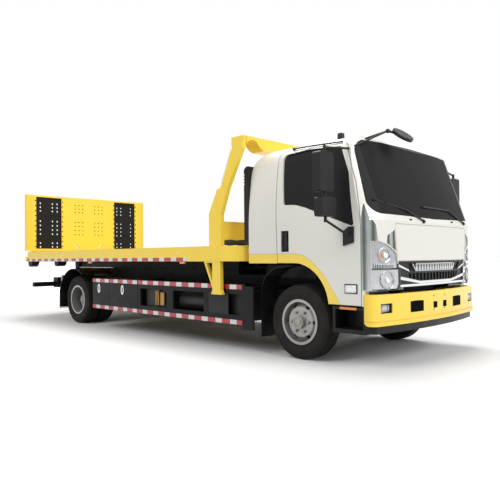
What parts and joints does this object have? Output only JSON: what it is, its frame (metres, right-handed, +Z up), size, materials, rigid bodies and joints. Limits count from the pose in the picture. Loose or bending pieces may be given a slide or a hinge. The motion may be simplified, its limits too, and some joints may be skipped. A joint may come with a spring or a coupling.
{
  "type": "flatbed tow truck",
  "caption": "Cab-over recovery truck with a tilting, sliding flat bed, leaning gantry behind the cab, folding tail ramp and an under-lift with cross-bar.",
  "frame": {"origin": "bottom centre of the whole truck's box at rest, on the ground", "axes": "+X towards the front of the cab, +Y to the truck's left, +Z up"},
  "size_m": [7.5448, 2.875, 2.405],
  "materials": {
    "cab_white": "gloss",
    "yellow": "gloss",
    "chassis_black": "satin",
    "engine_iron": "cast",
    "skirt_grey": "satin",
    "black_plastic": "grained",
    "tank_black": "satin",
    "lamp_red": "gloss",
    "lamp_clear": "gloss",
    "corner_chrome": "mirror",
    "cab_glass": "clear",
    "seat_cloth": "woven",
    "tyre_rubber": "matt",
    "wheel_silver": "satin",
    "rod_steel": "ground"
  },
  "bodies": {
    "chassis": {"frame_rails": "chassis_black", "frame_crossmembers": "chassis_black", "subframe": "chassis_black", "front_axle": "chassis_black", "leaf_springs": "chassis_black", "rear_axle": "chassis_black", "engine": "engine_iron", "bumper": "yellow", "valance_steps": "black_plastic", "front_mudguards": "black_plastic", "rear_mudguards": "black_plastic", "side_guards": "skirt_grey", "tool_boxes": "skirt_grey", "side_equipment": "tank_black", "tail_lamps": "lamp_red"},
    "cab": {"cab_shell": "cab_white", "cab_glass": "cab_glass", "front_panel": "cab_white", "grille": "black_plastic", "grille_trim": "corner_chrome", "headlamps": "lamp_clear", "corner_panels": "corner_chrome", "dashboard": "black_plastic", "seats": "seat_cloth", "front_mirror": "black_plastic", "air_intake": "black_plastic"},
    "tie_rod": {"tie_rod": "chassis_black"},
    "tilt_frame": {"tilt_frame": "chassis_black"},
    "bed": {"bed_deck": "yellow", "tail_skids": "chassis_black", "gantry": "yellow", "winch": "tank_black", "slide_rod": "rod_steel"},
    "ramp": {"ramp_frame": "yellow", "ramp_treads": "chassis_black"},
    "lift_boom": {"lift_boom": "chassis_black"},
    "lift_slide": {"lift_slide": "chassis_black"},
    "cross_bar": {"cross_bar": "chassis_black"},
    "tilt_barrels": {"tilt_barrels": "chassis_black"},
    "tilt_rods": {"tilt_rods": "rod_steel"},
    "door_left": {"door_left": "cab_white", "door_glass_left": "cab_glass", "mirror_left": "black_plastic"},
    "knuckle_left": {"knuckle_left": "chassis_black"},
    "front_wheel_left": {"front_tyre_left": "tyre_rubber", "front_rim_left": "wheel_silver"},
    "rear_wheel_left": {"rear_tyres_left": "tyre_rubber", "rear_rims_left": "wheel_silver"},
    "tool_door_rear_left": {"tool_door_rear_left": "skirt_grey"},
    "tool_door_front_left": {"tool_door_front_left": "skirt_grey"},
    "door_right": {"door_right": "cab_white", "door_glass_right": "cab_glass", "mirror_right": "black_plastic"},
    "knuckle_right": {"knuckle_right": "chassis_black"},
    "front_wheel_right": {"front_tyre_right": "tyre_rubber", "front_rim_right": "wheel_silver"},
    "rear_wheel_right": {"rear_tyres_right": "tyre_rubber", "rear_rims_right": "wheel_silver"},
    "tool_door_rear_right": {"tool_door_rear_right": "skirt_grey"},
    "tool_door_front_right": {"tool_door_front_right": "skirt_grey"}
  },
  "joints": [
    {"name": "cab_tilt", "type": "hinge", "parent": "chassis", "child": "cab", "pos_m": [3.6675, 0, 0.8], "axis": [0, 1, 0], "range_deg": [0, 45]},
    {"name": "door_swing_left", "type": "hinge", "parent": "cab", "child": "door_left", "pos_m": [3.5415, 1.081, 1.3], "axis": [0, 0, -1], "range_deg": [0, 70]},
    {"name": "steer_left", "type": "hinge", "parent": "chassis", "child": "knuckle_left", "pos_m": [2.7175, 0.76, 0.388], "axis": [0, 0, 1], "range_deg": [-35, 35]},
    {"name": "front_wheel_spin_left", "type": "hinge", "parent": "knuckle_left", "child": "front_wheel_left", "pos_m": [2.7175, 0.895, 0.388], "axis": [0, 1, 0], "continuous": true},
    {"name": "rear_wheel_spin_left", "type": "hinge", "parent": "chassis", "child": "rear_wheel_left", "pos_m": [-2.0325, 0.777, 0.388], "axis": [0, 1, 0], "continuous": true},
    {"name": "tool_door_swing_rear_left", "type": "hinge", "parent": "chassis", "child": "tool_door_rear_left", "pos_m": [-0.7825, 1.145, 0.306], "axis": [-1, 0, 0], "range_deg": [0, 90]},
    {"name": "tool_door_swing_front_left", "type": "hinge", "parent": "chassis", "child": "tool_door_front_left", "pos_m": [-0.7825, 1.145, 0.306], "axis": [-1, 0, 0], "range_deg": [0, 90]},
    {"name": "door_swing_right", "type": "hinge", "parent": "cab", "child": "door_right", "pos_m": [3.5415, -1.081, 1.3], "axis": [0, 0, 1], "range_deg": [0, 70]},
    {"name": "steer_right", "type": "hinge", "parent": "chassis", "child": "knuckle_right", "pos_m": [2.7175, -0.76, 0.388], "axis": [0, 0, 1], "range_deg": [-35, 35]},
    {"name": "front_wheel_spin_right", "type": "hinge", "parent": "knuckle_right", "child": "front_wheel_right", "pos_m": [2.7175, -0.895, 0.388], "axis": [0, 1, 0], "continuous": true},
    {"name": "rear_wheel_spin_right", "type": "hinge", "parent": "chassis", "child": "rear_wheel_right", "pos_m": [-2.0325, -0.777, 0.388], "axis": [0, 1, 0], "continuous": true},
    {"name": "tool_door_swing_rear_right", "type": "hinge", "parent": "chassis", "child": "tool_door_rear_right", "pos_m": [-0.7825, -1.145, 0.306], "axis": [1, 0, 0], "range_deg": [0, 90]},
    {"name": "tool_door_swing_front_right", "type": "hinge", "parent": "chassis", "child": "tool_door_front_right", "pos_m": [-0.7825, -1.145, 0.306], "axis": [1, 0, 0], "range_deg": [0, 90]},
    {"name": "tie_rod_turn", "type": "hinge", "parent": "knuckle_left", "child": "tie_rod", "pos_m": [2.5195, 0.69, 0.279], "axis": [0, 0, 1], "range_deg": [-39, 39]},
    {"name": "bed_tilt", "type": "hinge", "parent": "chassis", "child": "tilt_frame", "pos_m": [-3.1325, 0, 0.87], "axis": [0, -1, 0], "range_deg": [0, 12]},
    {"name": "bed_slide", "type": "slide", "parent": "tilt_frame", "child": "bed", "axis": [-1, 0, 0], "range_m": [0, 3]},
    {"name": "ramp_fold", "type": "hinge", "parent": "bed", "child": "ramp", "pos_m": [-3.5445, 0, 1.19], "axis": [0, -1, 0], "range_deg": [0, 104]},
    {"name": "lift_raise", "type": "hinge", "parent": "chassis", "child": "lift_boom", "pos_m": [-2.8225, 0, 0.6], "axis": [0, -1, 0], "range_deg": [-6, 12]},
    {"name": "lift_extend", "type": "slide", "parent": "lift_boom", "child": "lift_slide", "axis": [-1, 0, 0], "range_m": [0, 0.4]},
    {"name": "bar_swivel", "type": "hinge", "parent": "lift_slide", "child": "cross_bar", "pos_m": [-3.6825, 0, 0.615], "axis": [0, 0, 1], "range_deg": [-20, 20]},
    {"name": "barrel_swing", "type": "hinge", "parent": "chassis", "child": "tilt_barrels", "pos_m": [-0.6325, 0, 0.66], "axis": [0, -1, 0], "range_deg": [0, 33.41]},
    {"name": "rod_slide", "type": "slide", "parent": "tilt_barrels", "child": "tilt_rods", "axis": [0.9503, 0, 0.3115], "range_m": [0, 0.3416]}
  ],
  "couplings": [
    {"joint": "steer_right", "follows": "steer_left", "ratio": 1},
    {"joint": "tie_rod_turn", "follows": "steer_left", "ratio": -1.093},
    {"joint": "barrel_swing", "follows": "bed_tilt", "ratio": 2.7428},
    {"joint": "rod_slide", "follows": "bed_tilt", "m_per_rad": 1.6166}
  ]
}
